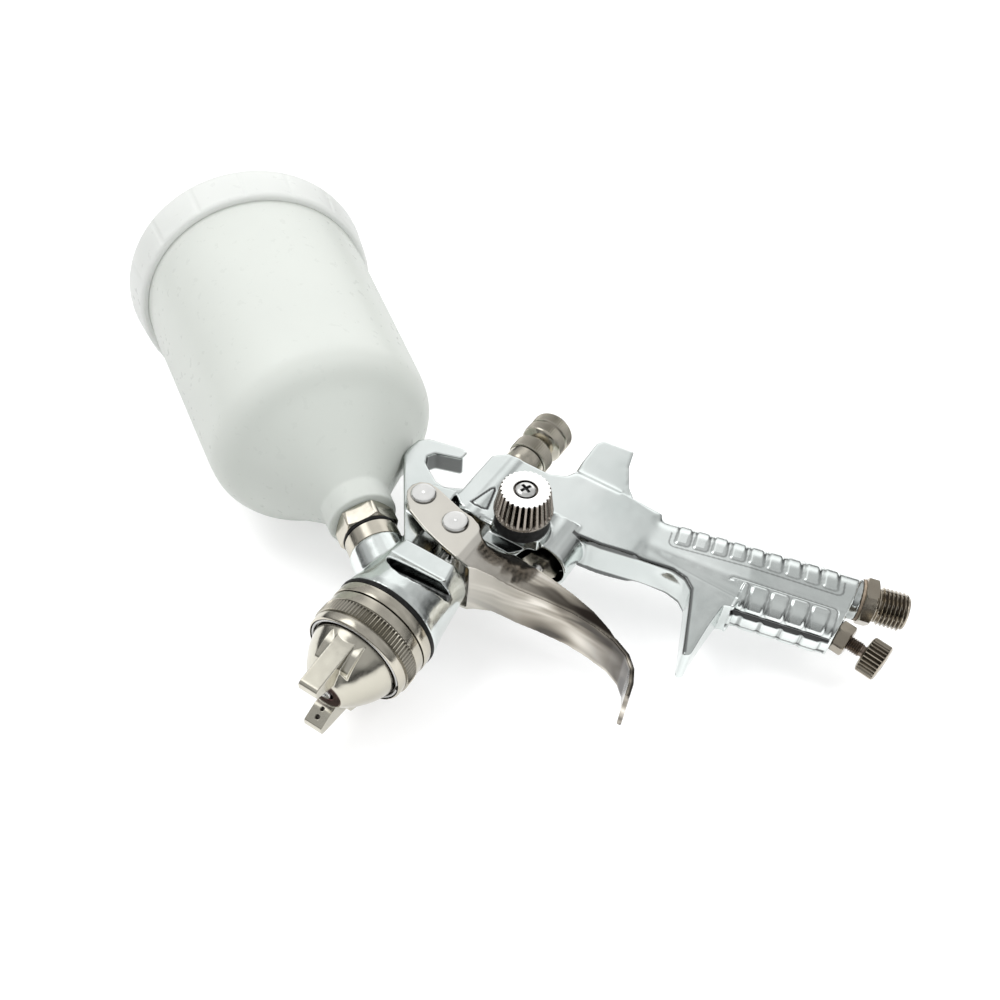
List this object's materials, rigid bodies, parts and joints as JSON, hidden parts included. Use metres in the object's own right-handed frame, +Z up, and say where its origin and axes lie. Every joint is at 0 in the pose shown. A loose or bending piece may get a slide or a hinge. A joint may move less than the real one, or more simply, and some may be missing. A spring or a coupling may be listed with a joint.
{
  "type": "hvlp spray gun",
  "caption": "Gravity-feed spray gun with a leaning cup, a horned air cap, a hooked body, a trigger on a pin, and turning fan, fluid and air controls.",
  "frame": {"origin": "on the spray axis, at the plane of the front face of the air cap, where the paint leaves", "axes": "+X the spray direction, along the needle; +Z up towards the cup; +Y the left side of the gun, where the fan-pattern knob is"},
  "size_m": [0.1938, 0.1016, 0.3271],
  "materials": {
    "chrome": "polished chrome plate over a die casting",
    "nickel": "satin nickel plate over brass",
    "trigger_plate": "polished nickel plate over pressed steel",
    "steel": "bright turned stainless steel",
    "spring_wire": "drawn spring wire",
    "air_screw": "darkened turned steel with a fine thread",
    "brass": "turned brass",
    "black_rubber": "black moulded seal",
    "fibre_washer": "pressed fibre washer",
    "white_ptfe": "white waxy plastic",
    "milky_plastic": "milky translucent moulded plastic, slightly green-grey"
  },
  "bodies": {
    "gun": {"gun_body": "chrome", "air_baffle": "nickel", "head_gasket": "black_rubber", "fluid_nozzle": "steel", "needle_packing": "white_ptfe", "packing_nut": "brass", "fluid_bush": "nickel", "fan_bush": "nickel", "fan_seal": "black_rubber", "valve_gland": "nickel", "air_inlet": "nickel", "inlet_gasket": "fibre_washer", "air_gland": "nickel", "cup_connector": "nickel", "trigger_pin": "steel", "pin_clip": "steel", "cup_gasket": "black_rubber"},
    "air_cap": {"air_cap": "nickel"},
    "retaining_ring": {"retaining_ring": "nickel", "ring_clip": "spring_wire"},
    "needle": {"fluid_needle": "steel", "needle_collar": "brass", "needle_spring": "spring_wire"},
    "locknut": {"fluid_locknut": "nickel"},
    "fluid_control": {"fluid_knob": "nickel"},
    "fan_control": {"fan_stem": "steel", "fan_knob": "nickel", "fan_screw": "steel"},
    "air_valve": {"valve_stem": "steel", "valve_seal": "black_rubber", "valve_spring": "spring_wire"},
    "air_control": {"air_stem": "air_screw", "air_knob": "nickel"},
    "trigger": {"trigger": "trigger_plate", "needle_yoke": "steel"},
    "cup": {"cup_nut": "nickel", "cup_body": "milky_plastic", "paint_filter": "white_ptfe"},
    "lid": {"cup_lid": "milky_plastic", "lid_gasket": "white_ptfe", "vent_plug": "milky_plastic"}
  },
  "joints": [
    {"name": "trigger_pull", "type": "hinge", "parent": "gun", "child": "trigger", "pos_m": [-0.0741, 0, 0.0154], "axis": [0, 1, 0], "range_deg": [0, 7.8]},
    {"name": "needle_slide", "type": "slide", "parent": "gun", "child": "needle", "axis": [-1, 0, 0], "range_m": [0, 0.00222]},
    {"name": "air_valve_slide", "type": "slide", "parent": "gun", "child": "air_valve", "axis": [-1, 0, 0], "range_m": [0, 0.00599]},
    {"name": "ring_turn", "type": "hinge", "parent": "gun", "child": "retaining_ring", "pos_m": [-0.02, 0, 0], "axis": [1, 0, 0], "continuous": true},
    {"name": "air_cap_turn", "type": "hinge", "parent": "gun", "child": "air_cap", "pos_m": [-0.01, 0, 0], "axis": [1, 0, 0], "range_deg": [-90, 90]},
    {"name": "locknut_turn", "type": "hinge", "parent": "gun", "child": "locknut", "pos_m": [-0.122, 0, 0], "axis": [-1, 0, 0], "range_deg": [0, 360]},
    {"name": "fluid_control_turn", "type": "hinge", "parent": "gun", "child": "fluid_control", "pos_m": [-0.134, 0, 0], "axis": [-1, 0, 0], "range_deg": [-360, 720]},
    {"name": "fan_control_turn", "type": "hinge", "parent": "gun", "child": "fan_control", "pos_m": [-0.0825, 0.026, -0.0188], "axis": [0, 1, 0], "range_deg": [-180, 540]},
    {"name": "air_control_turn", "type": "hinge", "parent": "gun", "child": "air_control", "pos_m": [-0.10855, 0, -0.13801], "axis": [0.164, 0, -0.9865], "range_deg": [-360, 360]},
    {"name": "cup_turn", "type": "hinge", "parent": "gun", "child": "cup", "pos_m": [-0.06, 0, 0.0298], "axis": [-0.5577, 0, 0.83], "continuous": true},
    {"name": "lid_turn", "type": "hinge", "parent": "cup", "child": "lid", "pos_m": [-0.1409, 0, 0.1502], "axis": [-0.5577, 0, 0.83], "continuous": true}
  ],
  "couplings": [
    {"joint": "needle_slide", "follows": "trigger_pull", "m_per_rad": 0.0163},
    {"joint": "air_valve_slide", "follows": "trigger_pull", "m_per_rad": 0.044}
  ]
}
